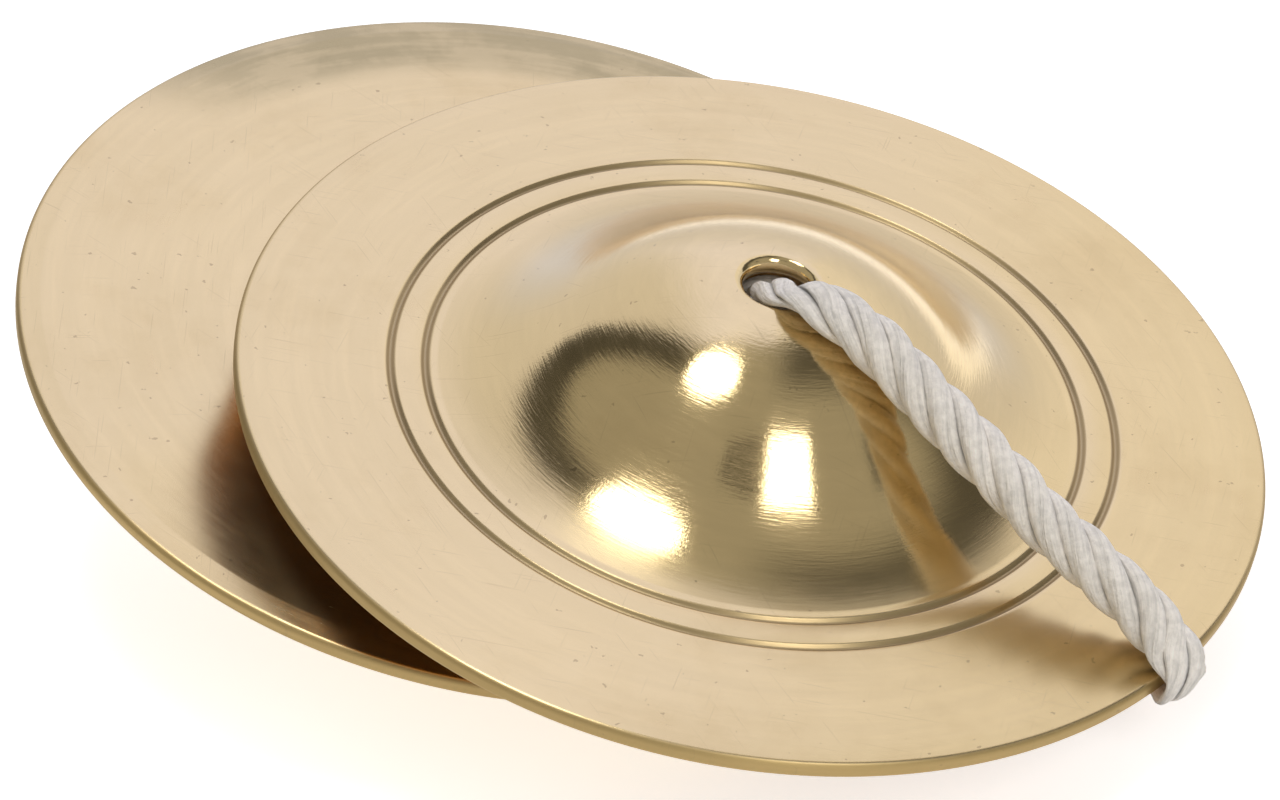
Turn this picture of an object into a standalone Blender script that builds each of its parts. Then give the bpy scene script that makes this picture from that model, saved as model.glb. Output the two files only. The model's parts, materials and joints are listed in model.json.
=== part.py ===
"""Manjira: two small turned brass cymbals tied together with one cord, at rest on a table.

The lower cymbal lies boss down on its own cord, and the upper one lies boss up on a turn of the
cord that is caught between the two. The cord leaves the upper crown, turns over the upper rim,
makes a turn between the faces, drops to the table and runs under the lower cymbal to its crown.
Metres, +Z up, the table at Z = 0.
"""

import math

import bmesh
import bpy
from mathutils import Matrix, Vector

# Cymbal, measured from its flat outer face, with the boss standing up from it.
CYMBAL_RADIUS = 0.0375
RIM_THICKNESS = 0.0015
BOSS_RISE = 0.0103
BOSS_CURVE = 0.0207
BOSS_WALL = 0.0015
DOME_REACH = 0.0133
SKIRT_REACH = 0.0235
SKIRT_FOOT_SLOPE = math.radians(14.0)
CAVITY_MOUTH = 0.0187
CAVITY_LIP = 0.0008
HOLE_RADIUS = 0.0025
HOLE_EASE = 0.0007
GROOVE_RADII = (0.0239, 0.0264)
GROOVE_WIDTH = 0.00065
GROOVE_DEPTH = 0.0003
EDGE_ROUND = 0.00045
INNER_EASE_WIDTH = 0.0012
INNER_EASE_DROP = 0.0002
TURN_STEPS = 64

# Cord and its stopper knots.
CORD_DIAMETER = 0.0041
KNOT_DIAMETER = 0.0110
KNOT_HEIGHT = 0.0080
TAIL_LENGTH = 0.0032
CLEARANCE = 0.0003

# How the pair lies.
LEAN_BEARING = math.radians(-36.0)
SLIDE = 0.0197
UPPER_LEVELLING = math.radians(1.9)
CORD_BEARING = math.radians(-6.8)

CORD_RADIUS = CORD_DIAMETER / 2
STAND_OFF = CORD_RADIUS + CLEARANCE
CENTRE_DEPTH = BOSS_CURVE - BOSS_RISE
SPAN_STEPS = 24
MOST_TURN = math.radians(13.0)

# The cord over the upper cymbal, in its own frame: downhill, across and over its outer face.
OVER_BOSS = (
    (0.0004, 0.0000, 0.0112),
    (0.0020, -0.0004, 0.0126),
    (0.0046, -0.0009, 0.0124),
    (0.0071, -0.0012, 0.0116),
    (0.0124, -0.0018, 0.0099),
    (0.0185, -0.0025, 0.0079),
    (0.0258, -0.0033, 0.0055),
    (0.0315, -0.0039, 0.0036),
)

# The cord between the two faces, seen from above: X downhill, Y across, from under the upper rim.
BETWEEN_FACES = (
    (0.0295, -0.0185),
    (0.0220, -0.0215),
    (0.0130, -0.0225),
    (0.0050, -0.0190),
    (0.0000, -0.0120),
    (-0.0020, -0.0030),
    (-0.0010, 0.0070),
    (0.0035, 0.0160),
    (0.0110, 0.0225),
    (0.0200, 0.0250),
)

# The cord outside the lower rim: in close under the upper one, and out and down to the table.
ENTRY = ((0.0472, -0.0060), (0.0418, -0.0092), (0.0358, -0.0138))
DESCENT = (
    (0.0285, 0.0236, 0.0100),
    (0.0360, 0.0190, 0.0070),
    (0.0394, 0.0142, 0.0043),
    (0.0388, 0.0108, 0.0026),
)

# The cord on the table, from under the lower rim to the turn before the crown.
ON_TABLE = (
    (0.0362, 0.0088),
    (0.0306, 0.0076),
    (0.0240, 0.0068),
    (0.0170, 0.0052),
    (0.0095, 0.0022),
    (0.0020, -0.0018),
    (-0.0050, -0.0064),
    (-0.0105, -0.0108),
    (-0.0170, -0.0145),
    (-0.0238, -0.0130),
    (-0.0265, -0.0070),
    (-0.0232, -0.0014),
    (-0.0165, 0.0000),
)


def clear_scene():
    for found in list(bpy.data.objects):
        bpy.data.objects.remove(found, do_unlink=True)


def new_collection(name):
    collection = bpy.data.collections.new(name)
    bpy.context.scene.collection.children.link(collection)
    return collection


def material(name, colour, roughness, metallic):
    made = bpy.data.materials.new(name)
    made.use_nodes = True
    shader = made.node_tree.nodes["Principled BSDF"]
    shader.inputs["Base Color"].default_value = (*colour, 1.0)
    shader.inputs["Roughness"].default_value = roughness
    shader.inputs["Metallic"].default_value = metallic
    made.diffuse_color = (*colour, 1.0)
    return made


def arc(centre, radius, start, end, count):
    """Points of an arc in the profile's plane, its angles counted from the outward direction."""
    points = []
    for i in range(count + 1):
        angle = start + (end - start) * i / count
        points.append((centre[0] + radius * math.cos(angle), centre[1] + radius * math.sin(angle)))
    return points


def skirt(dome_edge, dome_slope, count):
    """The hollow curve from the dome to the flat face, tangent to both ends' slopes."""
    rise = dome_edge[1] + dome_slope * dome_edge[0]
    foot = math.tan(SKIRT_FOOT_SLOPE)
    meet = (rise - foot * SKIRT_REACH) / (dome_slope - foot)
    bend = (meet, foot * (SKIRT_REACH - meet))
    points = []
    for i in range(1, count + 1):
        t = i / count
        weights = ((1 - t) ** 2, 2 * t * (1 - t), t * t)
        ends = (dome_edge, bend, (SKIRT_REACH, 0.0))
        points.append(tuple(sum(w * p[axis] for w, p in zip(weights, ends)) for axis in (0, 1)))
    return points


def groove(radius):
    """A shallow turned groove with sloping walls."""
    half = GROOVE_WIDTH / 2
    floor = half * 0.45
    return [
        (radius - half, 0.0),
        (radius - floor, -GROOVE_DEPTH),
        (radius + floor, -GROOVE_DEPTH),
        (radius + half, 0.0),
    ]


def cymbal_profile():
    """The closed section of one cymbal, from the crown hole outwards, down the edge and back."""
    outer_hole = math.asin((HOLE_RADIUS + HOLE_EASE) / BOSS_CURVE)
    dome_end = math.asin(DOME_REACH / BOSS_CURVE)
    centre = (0.0, -CENTRE_DEPTH)
    inner_curve = BOSS_CURVE - BOSS_WALL
    inner_hole = math.asin((HOLE_RADIUS + HOLE_EASE) / inner_curve)
    quarter = math.pi / 2

    outer_dome = arc(centre, BOSS_CURVE, quarter - outer_hole, quarter - dome_end, 6)
    inner_dome = arc(centre, inner_curve, quarter - dome_end, quarter - inner_hole, 5)
    edge = CYMBAL_RADIUS - EDGE_ROUND
    under_edge = -RIM_THICKNESS + INNER_EASE_DROP + EDGE_ROUND

    points = list(outer_dome)
    points += skirt(outer_dome[-1], math.tan(dome_end), 6)
    for radius in GROOVE_RADII:
        points += groove(radius)
    points += arc((edge, -EDGE_ROUND), EDGE_ROUND, quarter, 0.0, 3)
    points += arc((edge, under_edge), EDGE_ROUND, 0.0, -quarter, 3)
    points.append((CYMBAL_RADIUS - EDGE_ROUND - INNER_EASE_WIDTH, -RIM_THICKNESS))
    points.append((CAVITY_MOUTH + CAVITY_LIP, -RIM_THICKNESS))
    points.append((CAVITY_MOUTH, -RIM_THICKNESS + CAVITY_LIP * 0.35))
    points += inner_dome
    points.append((HOLE_RADIUS, inner_dome[-1][1] + HOLE_EASE))
    points.append((HOLE_RADIUS, outer_dome[0][1] - HOLE_EASE))
    points.append((HOLE_RADIUS + HOLE_EASE * 0.3, outer_dome[0][1] - HOLE_EASE * 0.3))
    return points


def turned(name, points, frame, collection, skin):
    """A closed profile turned about its own Z axis."""
    mesh = bpy.data.meshes.new(name)
    build = bmesh.new()
    ring = [build.verts.new((x, 0.0, z)) for x, z in points]
    for i, vert in enumerate(ring):
        build.edges.new((vert, ring[(i + 1) % len(ring)]))
    build.to_mesh(mesh)
    build.free()
    made = bpy.data.objects.new(name, mesh)
    made.matrix_world = frame
    collection.objects.link(made)
    screw = made.modifiers.new("Turn", "SCREW")
    screw.steps = TURN_STEPS
    screw.render_steps = TURN_STEPS
    screw.use_smooth_shade = True
    screw.use_merge_vertices = True
    screw.merge_threshold = 0.00001
    made.data.materials.append(skin)
    return made


def spline(points):
    """A Catmull-Rom curve through the route's own points, read finely."""
    ends = [points[0] * 2 - points[1], *points, points[-1] * 2 - points[-2]]
    fine = []
    for before, start, end, after in zip(ends, ends[1:], ends[2:], ends[3:]):
        knots = [0.0]
        for a, b in ((before, start), (start, end), (end, after)):
            knots.append(knots[-1] + math.sqrt((b - a).length))
        for i in range(SPAN_STEPS):
            t = knots[1] + (knots[2] - knots[1]) * i / SPAN_STEPS
            row = [before, start, end, after]
            for level in (1, 2, 3):
                row = [
                    a.lerp(b, (t - knots[max(i0, 0)]) / (knots[i1] - knots[max(i0, 0)]))
                    for a, b, i0, i1 in zip(row, row[1:], *spans(level))
                ]
            fine.append(row[0])
    fine.append(points[-1])
    return fine


def spans(level):
    """Knot spans of one level of the Catmull-Rom pyramid."""
    return {
        1: ((0, 1, 2), (1, 2, 3)),
        2: ((0, 1), (2, 3)),
        3: ((1,), (2,)),
    }[level]


def thinned(fine):
    """Keeps a point wherever the cord has turned or run far enough since the last one.

    The first and last spans stay whole, so that each end is square to the cord.
    """
    first, last = SPAN_STEPS, len(fine) - 1 - SPAN_STEPS
    kept = [fine[0], fine[first]]
    heading = (fine[first] - fine[0]).normalized()
    run = 0.0
    for i in range(first + 1, last):
        run += (fine[i] - fine[i - 1]).length
        now = (fine[i] - fine[i - 1]).normalized()
        if heading.angle(now) > MOST_TURN or run > 2 * CORD_DIAMETER:
            kept.append(fine[i])
            heading = now
            run = 0.0
    if (kept[-1] - fine[last]).length < CORD_RADIUS / 2:
        kept.pop()
    return [*kept, fine[last], fine[-1]]


def run_length(points):
    """Length along the smooth curve through a route's points."""
    fine = spline(points)
    return sum((b - a).length for a, b in zip(fine, fine[1:]))


def tube(name, points, collection, skin):
    """A cord stretch of round section along its route, never below the table, with filled ends."""
    curve = bpy.data.curves.new(name, "CURVE")
    curve.dimensions = "3D"
    curve.bevel_depth = CORD_RADIUS
    curve.bevel_resolution = 2
    curve.use_fill_caps = True
    route = thinned(spline(points))
    line = curve.splines.new("POLY")
    line.points.add(len(route) - 1)
    for target, point in zip(line.points, route):
        target.co = (point.x, point.y, max(point.z, CORD_RADIUS), 1.0)
    made = bpy.data.objects.new(name, curve)
    collection.objects.link(made)
    curve.materials.append(skin)
    return made


def knot(name, seat, axis, tail_side, collection, skin):
    """A stopper knot drawn tight: a plump lump on the cord, with the cut end standing out of it."""
    centre = seat + axis * (KNOT_HEIGHT / 2)
    frame = Matrix.Translation(centre) @ axis.to_track_quat("Z", "X").to_matrix().to_4x4()
    mesh = bpy.data.meshes.new(name)
    build = bmesh.new()
    bmesh.ops.create_uvsphere(build, u_segments=20, v_segments=12, radius=0.5)
    bmesh.ops.scale(build, vec=(KNOT_DIAMETER, KNOT_DIAMETER, KNOT_HEIGHT), verts=build.verts)
    build.to_mesh(mesh)
    build.free()
    mesh.shade_smooth()
    made = bpy.data.objects.new(name, mesh)
    made.matrix_world = frame
    collection.objects.link(made)
    mesh.materials.append(skin)

    end_mesh = bpy.data.meshes.new(name + "_tail")
    build = bmesh.new()
    length = KNOT_DIAMETER / 2 + TAIL_LENGTH
    bmesh.ops.create_cone(
        build,
        cap_ends=True,
        segments=10,
        radius1=CORD_RADIUS * 0.85,
        radius2=CORD_RADIUS * 0.85,
        depth=length,
        matrix=Matrix.Translation((length / 2, 0.0, 0.0)) @ Matrix.Rotation(math.pi / 2, 4, "Y"),
    )
    build.to_mesh(end_mesh)
    build.free()
    end = bpy.data.objects.new(name + "_tail", end_mesh)
    end.matrix_world = frame @ Matrix.Rotation(tail_side, 4, "Z")
    end.hide_render = True
    end.display_type = "WIRE"
    bpy.data.collections["cutters"].objects.link(end)
    join = made.modifiers.new("Tail", "BOOLEAN")
    join.operation = "UNION"
    join.solver = "EXACT"
    join.object = end
    return made


def empty(name, frame, collection):
    made = bpy.data.objects.new(name, None)
    made.empty_display_size = CYMBAL_RADIUS / 4
    made.matrix_world = frame
    collection.objects.link(made)
    return made


def adopt(parent, child):
    """Parents a piece to its joint's empty and leaves it where it is."""
    child.parent = parent
    child.matrix_parent_inverse = parent.matrix_world.inverted()


def basis(origin, x_axis, z_axis):
    y_axis = z_axis.cross(x_axis)
    rows = Matrix((x_axis, y_axis, z_axis)).transposed().to_4x4()
    return Matrix.Translation(origin) @ rows


def main():
    clear_scene()
    parts = new_collection("manjira")
    new_collection("cutters")

    upper_brass = material("upper_brass", (0.76, 0.60, 0.33), 0.28, 1.0)
    lower_brass = material("lower_brass", (0.74, 0.58, 0.32), 0.32, 1.0)
    white_cord = material("white_cord", (0.78, 0.75, 0.70), 0.9, 0.0)

    # The lower dome and the lower rim both stand one cord thickness and a clearance off the table.
    lift = CORD_DIAMETER + CLEARANCE
    lean = math.asin(BOSS_CURVE / math.hypot(CENTRE_DEPTH, CYMBAL_RADIUS))
    lean -= math.atan2(CENTRE_DEPTH, CYMBAL_RADIUS)
    lower_up = Vector((math.sin(lean), 0.0, math.cos(lean)))
    downhill = Vector((math.cos(lean), 0.0, -math.sin(lean)))
    dome_centre = Vector((0.0, 0.0, lift + BOSS_CURVE))
    lower_face = dome_centre - lower_up * CENTRE_DEPTH
    inner_face = lower_face + lower_up * RIM_THICKNESS

    # The upper cymbal rests on the cord's uphill turn and opens a little on the downhill side.
    uphill_turn = min(x for x, _ in BETWEEN_FACES)
    turn_reach = (uphill_turn - inner_face.x) / downhill.x
    gap = CORD_DIAMETER + 2 * CLEARANCE + (SLIDE - turn_reach) * math.tan(UPPER_LEVELLING)
    upper_lean = lean - UPPER_LEVELLING
    upper_up = Vector((math.sin(upper_lean), 0.0, math.cos(upper_lean)))
    upper_downhill = Vector((math.cos(upper_lean), 0.0, -math.sin(upper_lean)))
    across = Vector((0.0, 1.0, 0.0))
    underside = inner_face + downhill * SLIDE + lower_up * gap
    upper_face = underside + upper_up * RIM_THICKNESS

    def height_on(point, normal, x, y):
        """Height of a tilted plane over a point of the table."""
        return point.z - (normal.x * (x - point.x) + normal.y * (y - point.y)) / normal.z

    # The turn of the cord over the upper rim.
    outward = upper_downhill * math.cos(CORD_BEARING) + across * math.sin(CORD_BEARING)
    wrap_radius = RIM_THICKNESS / 2 + STAND_OFF
    rim_centre = upper_face - upper_up * (RIM_THICKNESS / 2)
    rim_centre += outward * (CYMBAL_RADIUS - RIM_THICKNESS / 2)
    turn_point = rim_centre + outward * wrap_radius
    hinge_point = turn_point + outward * CORD_RADIUS

    seat_depth = BOSS_RISE - BOSS_WALL
    over = [upper_face + upper_up * seat_depth]
    over.append(upper_face + upper_up * (BOSS_RISE - BOSS_WALL / 3))
    over += [upper_face + upper_downhill * x + across * y + upper_up * z for x, y, z in OVER_BOSS]
    for angle in (108.0, 82.0, 57.0, 32.0):
        turn = math.radians(angle)
        reach = outward * math.cos(turn) + upper_up * math.sin(turn)
        over.append(rim_centre + reach * wrap_radius)
    straight = CORD_RADIUS / 2
    over.append(turn_point + upper_up * straight)
    over.append(turn_point + upper_up * (CLEARANCE / 2))

    under = [turn_point - upper_up * (CLEARANCE / 2), turn_point - upper_up * straight]
    for angle in (-40.0, -68.0, -96.0):
        turn = math.radians(angle)
        reach = outward * math.cos(turn) + upper_up * math.sin(turn)
        under.append(rim_centre + reach * wrap_radius)
    hang = STAND_OFF / upper_up.z
    for x, y in ENTRY:
        under.append(Vector((x, y, height_on(underside, upper_up, x, y) - hang)))
    for x, y in BETWEEN_FACES:
        low = height_on(inner_face, lower_up, x, y)
        high = height_on(underside, upper_up, x, y)
        under.append(Vector((x, y, (low + high) / 2)))
    under += [Vector(point) for point in DESCENT]
    under += [Vector((x, y, CORD_RADIUS)) for x, y in ON_TABLE]

    # The bend from the table up into the lower crown, along the lower cymbal's axis.
    crown = dome_centre - lower_up * BOSS_CURVE
    bend = (crown.z - CORD_RADIUS) / (1 - math.sin(lean))
    bend_centre = Vector((crown.x - bend * math.cos(lean), 0.0, CORD_RADIUS + bend))
    for share in (0.0, 0.33, 0.67, 1.0):
        angle = -math.pi / 2 + (math.pi / 2 - lean) * share
        under.append(bend_centre + Vector((math.cos(angle), 0.0, math.sin(angle))) * bend)
    under.append(crown + lower_up * BOSS_WALL)

    # The whole object turns from its downhill direction to its bearing on the table.
    bearing = Matrix.Rotation(LEAN_BEARING, 4, "Z")
    lower_frame = bearing @ basis(lower_face, downhill, -lower_up)
    upper_frame = bearing @ basis(upper_face, upper_downhill, upper_up)
    over = [bearing @ point for point in over]
    under = [bearing @ point for point in under]

    rest = empty("table_rest", Matrix.Identity(4), parts)
    opening = empty("opening_axis", bearing @ basis(hinge_point, outward, upper_up), parts)
    lower = turned("lower_cymbal", cymbal_profile(), lower_frame, parts, lower_brass)
    upper = turned("upper_cymbal", cymbal_profile(), upper_frame, parts, upper_brass)
    cord_over = tube("cord_over_upper", over, parts, white_cord)
    cord_under = tube("cord_between_and_under", under, parts, white_cord)

    upper_seat = bearing @ (upper_face + upper_up * (seat_depth - CLEARANCE))
    lower_seat = bearing @ (crown + lower_up * (BOSS_WALL + CLEARANCE))
    turned_up = bearing.to_3x3() @ upper_up
    turned_low = bearing.to_3x3() @ lower_up
    upper_knot = knot("upper_knot", upper_seat, -turned_up, math.radians(200), parts, white_cord)
    lower_knot = knot("lower_knot", lower_seat, turned_low, math.radians(60), parts, white_cord)

    bpy.context.view_layer.update()
    for piece in (lower, cord_under, lower_knot, opening):
        adopt(rest, piece)
    for piece in (upper, cord_over, upper_knot):
        adopt(opening, piece)

    print(f"cord over the upper cymbal: {run_length(over) * 1000:.1f} mm")
    print(f"cord between and under: {run_length(under) * 1000:.1f} mm")


main()
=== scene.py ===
"""Looks of the manjira: turned brass, a laid cotton cord with its knots, and a bright table."""

import json
import math

import bmesh
import bpy
from mathutils import Matrix, Vector, noise
from mathutils.bvhtree import BVHTree


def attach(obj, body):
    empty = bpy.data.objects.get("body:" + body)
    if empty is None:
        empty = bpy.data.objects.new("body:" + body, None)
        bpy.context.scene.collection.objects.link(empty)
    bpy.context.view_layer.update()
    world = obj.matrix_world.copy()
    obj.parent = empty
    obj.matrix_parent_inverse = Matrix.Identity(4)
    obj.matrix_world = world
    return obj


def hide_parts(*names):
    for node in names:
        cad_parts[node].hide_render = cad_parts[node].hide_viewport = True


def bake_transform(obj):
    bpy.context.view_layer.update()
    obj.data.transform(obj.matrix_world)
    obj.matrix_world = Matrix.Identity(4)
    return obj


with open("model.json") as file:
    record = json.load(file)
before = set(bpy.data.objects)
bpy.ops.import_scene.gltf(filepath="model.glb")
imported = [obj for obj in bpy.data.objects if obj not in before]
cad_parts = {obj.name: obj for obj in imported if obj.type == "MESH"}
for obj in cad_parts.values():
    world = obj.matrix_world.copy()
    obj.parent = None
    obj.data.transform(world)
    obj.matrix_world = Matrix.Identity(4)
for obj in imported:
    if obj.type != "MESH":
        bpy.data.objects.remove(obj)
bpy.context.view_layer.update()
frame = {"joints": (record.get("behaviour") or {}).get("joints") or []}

bl_info = {
    "name": "Manjira",
    "version": (1, 0, 0),
    "blender": (4, 5, 0),
    "location": "View3D > Sidebar > Manjira",
    "description": "Hand cymbals of turned brass on a laid cotton cord",
    "category": "Object",
}

JOINTS = {joint["name"]: joint for joint in frame["joints"]}

# Centreline of the cord from the knot in the upper boss to its turn under the rim, in the
# upper cymbal's frame: reach from its axis, bearing in degrees, height over its outer face.
OVER_ROUTE = (
    (0.0005, 165.0, 0.00770),
    (0.0002, -24.0, 0.00870),
    (0.0014, -24.0, 0.00995),
    (0.0030, -20.0, 0.01110),
    (0.0052, -11.0, 0.01105),
    (0.0078, -8.8, 0.01080),
    (0.0105, -7.8, 0.01012),
    (0.0134, -7.5, 0.00920),
    (0.0164, -7.5, 0.00835),
    (0.0193, -7.5, 0.00755),
    (0.0223, -7.3, 0.00665),
    (0.0254, -7.0, 0.00555),
    (0.0286, -6.5, 0.00470),
    (0.0312, -6.0, 0.00390),
    (0.0336, -5.4, 0.00300),
    (0.0355, -5.2, 0.00195),
    (0.0367, -5.1, 0.00125),
    (0.03762, -5.0, 0.00078),
    (0.03820, -5.0, 0.00000),
    (0.03832, -5.0, -0.00090),
    (0.03800, -4.5, -0.00170),
    (0.03720, -4.0, -0.00222),
    (0.03600, -3.7, -0.00252),
    (0.03440, -4.4, -0.00310),
)

# Centreline of the cord from there to the knot in the lower boss.
UNDER_ROUTE = (
    (0.03466, -0.03260, 0.00590),
    (0.02841, -0.03201, 0.00732),
    (0.02085, -0.03221, 0.00889),
    (0.01299, -0.03231, 0.00999),
    (0.00516, -0.03033, 0.01210),
    (-0.00271, -0.02584, 0.01462),
    (-0.00712, -0.01831, 0.01687),
    (-0.00705, -0.00971, 0.01828),
    (-0.00338, -0.00125, 0.01884),
    (0.00331, 0.00625, 0.01856),
    (0.01224, 0.01089, 0.01729),
    (0.02212, 0.01174, 0.01519),
    (0.03087, 0.00847, 0.01266),
    (0.03693, 0.00234, 0.01000),
    (0.04029, -0.00579, 0.00700),
    (0.04022, -0.01167, 0.00430),
    (0.03774, -0.01407, 0.00260),
    (0.03446, -0.01416, 0.00205),
    (0.02922, -0.01184, 0.00205),
    (0.02341, -0.00861, 0.00205),
    (0.01681, -0.00579, 0.00205),
    (0.00898, -0.00380, 0.00205),
    (0.00056, -0.00263, 0.00205),
    (-0.00781, -0.00224, 0.00205),
    (-0.01484, -0.00257, 0.00205),
    (-0.02228, -0.00174, 0.00205),
    (-0.02690, 0.00347, 0.00205),
    (-0.02555, 0.00991, 0.00205),
    (-0.01959, 0.01250, 0.00205),
    (-0.01335, 0.00970, 0.00205),
    (-0.00829, 0.00602, 0.00205),
    (-0.00679, 0.00493, 0.00245),
    (-0.00553, 0.00402, 0.00361),
    (-0.00479, 0.00348, 0.00527),
    (-0.00445, 0.00323, 0.00670),
)

STATION = 0.00035

# Where the cord is drawn narrow: distance along it, reach each way, and the share of its width.
WAISTS = ((0.0026, 0.0050, 0.78), (0.0465, 0.0045, 0.80), (0.2950, 0.0045, 0.80))


class CymbalSizes(bpy.types.PropertyGroup):
    """Sizes of one turned cymbal."""

    radius: bpy.props.FloatProperty(
        name="Radius", description="Outside radius of the rim", default=0.0375, unit="LENGTH"
    )
    rim: bpy.props.FloatProperty(
        name="Rim thickness", description="Thickness of the flat rim", default=0.0015, unit="LENGTH"
    )
    boss_rise: bpy.props.FloatProperty(
        name="Boss height",
        description="Height of the crown over the outer face",
        default=0.0103,
        unit="LENGTH",
    )
    boss_curve: bpy.props.FloatProperty(
        name="Boss curve", description="Radius of the domed crown", default=0.0207, unit="LENGTH"
    )
    hole: bpy.props.FloatProperty(
        name="Crown hole", description="Radius of the cord's hole", default=0.0025, unit="LENGTH"
    )
    turning: bpy.props.IntProperty(
        name="Turning", description="Faces round each cymbal", default=288, min=48, max=360
    )


class BrassLook(bpy.types.PropertyGroup):
    """Colours and surface of the brass."""

    colour: bpy.props.FloatVectorProperty(
        name="Brass",
        description="Colour of the turned brass",
        subtype="COLOR",
        default=(0.77, 0.595, 0.315),
    )
    tarnish: bpy.props.FloatVectorProperty(
        name="Tarnish",
        description="Colour of the faint tarnish",
        subtype="COLOR",
        default=(0.62, 0.45, 0.21),
    )
    scratch: bpy.props.FloatProperty(
        name="Turning marks",
        description="Depth of the finest turning marks",
        default=0.0000011,
        precision=8,
        unit="LENGTH",
    )


class CordSizes(bpy.types.PropertyGroup):
    """Sizes and colour of the laid cord."""

    diameter: bpy.props.FloatProperty(
        name="Diameter", description="Diameter over the strands", default=0.0041, unit="LENGTH"
    )
    lay: bpy.props.FloatProperty(
        name="Lay", description="Length of one full turn of a strand", default=0.0134, unit="LENGTH"
    )
    strands: bpy.props.IntProperty(
        name="Strands", description="Number of strands", default=4, min=2, max=6
    )
    colour: bpy.props.FloatVectorProperty(
        name="Cotton", description="Colour of the cotton", subtype="COLOR", default=(0.96, 0.90, 0.82)
    )


class StageLook(bpy.types.PropertyGroup):
    """Lights, table and camera."""

    lens: bpy.props.FloatProperty(
        name="Lens", description="Focal length of the camera in millimetres", default=123.075
    )
    surround: bpy.props.FloatProperty(
        name="Surround", description="Brightness of the white surround", default=1.0, min=0.0
    )


def axes_of(origin, up, downhill):
    """The frame of a cymbal: X downhill along its face, Z along its axis."""
    across = up.cross(downhill)
    turn = Matrix((downhill, across, up)).transposed().to_4x4()
    return Matrix.Translation(origin) @ turn


def cymbal_frame(joint, flip):
    """A cymbal's own frame from the joint it spins on: Z points out of its crown."""
    origin = Vector(joint["pos_m"])
    up = Vector(joint["axis"]).normalized()
    downhill = (up * up.z - Vector((0.0, 0.0, 1.0))).normalized()
    return axes_of(origin, -up if flip else up, downhill)


UPPER = cymbal_frame(JOINTS["upper_spin"], False)
LOWER = cymbal_frame(JOINTS["lower_spin"], True)


def arc(centre, radius, start, end, count):
    points = []
    for i in range(count + 1):
        angle = start + (end - start) * i / count
        points.append((centre[0] + radius * math.cos(angle), centre[1] + radius * math.sin(angle)))
    return points


def hollow(start, slope, foot_slope, foot_radius, count):
    """The hollow skirt between the dome and the flat face, tangent to both."""
    rise = start[1] + slope * start[0]
    foot = math.tan(foot_slope)
    meet = (rise - foot * foot_radius) / (slope - foot)
    bend = (meet, foot * (foot_radius - meet))
    points = []
    start, end = bend_in(start, bend, 0.25), bend_in((foot_radius, 0.0), bend, 0.06)
    points.append(start)
    for i in range(1, count + 1):
        t = i / count
        near, middle, far = (1 - t) ** 2, 2 * t * (1 - t), t * t
        x = near * start[0] + middle * bend[0] + far * end[0]
        points.append((x, near * start[1] + middle * bend[1] + far * end[1]))
    points.append((foot_radius, 0.0))
    return points


def bend_in(start, end, share):
    return tuple(a + (b - a) * share for a, b in zip(start, end))


def turned_groove(radius, width, depth):
    """A round-bottomed groove with soft shoulders."""
    points = []
    for i in range(17):
        t = -1 + i / 8
        points.append((radius + t * width / 2, -depth * (1 + math.cos(math.pi * t)) / 2))
    return points


def cymbal_profile(sizes):
    """The section of one cymbal from the crown hole outwards, round the edge and back."""
    ease = 0.0007
    wall = 0.0015
    reach = 0.0133
    skirt_end = 0.0235
    centre = (0.0, sizes.boss_rise - sizes.boss_curve)
    quarter = math.pi / 2
    hole_turn = math.asin((sizes.hole + ease) / sizes.boss_curve)
    dome_turn = math.asin(reach / sizes.boss_curve)
    outer = arc(centre, sizes.boss_curve, quarter - hole_turn, quarter - dome_turn, 30)
    inner_curve = sizes.boss_curve - wall
    inner_turn = math.asin((sizes.hole + ease) / inner_curve)
    inner = arc(centre, inner_curve, quarter - dome_turn, quarter - inner_turn, 16)

    points = list(outer)
    points += hollow(outer[-1], math.tan(dome_turn), math.radians(14.0), skirt_end - 0.0003, 26)
    points.append((skirt_end - 0.00008, 0.00002))
    for radius in (0.0239, 0.0264):
        points += turned_groove(radius, 0.0008, 0.00024)
    points += [(0.0270, 0.0), (0.0300, 0.00001), (0.0330, 0.00001), (0.0355, 0.0)]
    edge = 0.00045
    rim = sizes.radius - edge
    points += arc((rim, -edge), edge, quarter, 0.0, 8)
    points += arc((rim, -sizes.rim + 0.0002 + edge), edge, 0.0, -quarter, 8)
    points += arc((rim - 0.0014, -sizes.rim + 0.0012), 0.0012, -quarter + 0.12, -quarter, 3)
    mouth = 0.0187
    points += [(0.0330, -sizes.rim), (0.0280, -sizes.rim), (0.0230, -sizes.rim)]
    points += [(mouth + 0.0008, -sizes.rim), (mouth + 0.0003, -sizes.rim + 0.00008)]
    points += [(mouth, -sizes.rim + 0.00028)]
    points += inner
    points += arc((sizes.hole + ease, inner[-1][1] + ease), ease, -quarter, -math.pi, 4)
    points += arc((sizes.hole + ease, outer[0][1] - ease), ease, math.pi, quarter, 8)[:-1]
    return points


def turn(name, profile, steps, place):
    """A closed section spun full circle about Z, then set in its place."""
    build = bmesh.new()
    ring = [build.verts.new((x, 0.0, z)) for x, z in profile]
    for i, vert in enumerate(ring):
        build.edges.new((vert, ring[(i + 1) % len(ring)]))
    bmesh.ops.spin(
        build,
        geom=list(build.verts) + list(build.edges),
        cent=(0.0, 0.0, 0.0),
        axis=(0.0, 0.0, 1.0),
        angle=2 * math.pi,
        steps=steps,
        use_merge=True,
    )
    bmesh.ops.remove_doubles(build, verts=build.verts, dist=0.000002)
    bmesh.ops.recalc_face_normals(build, faces=build.faces)
    bmesh.ops.transform(build, matrix=place, verts=build.verts)
    return as_object(name, build)


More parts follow.
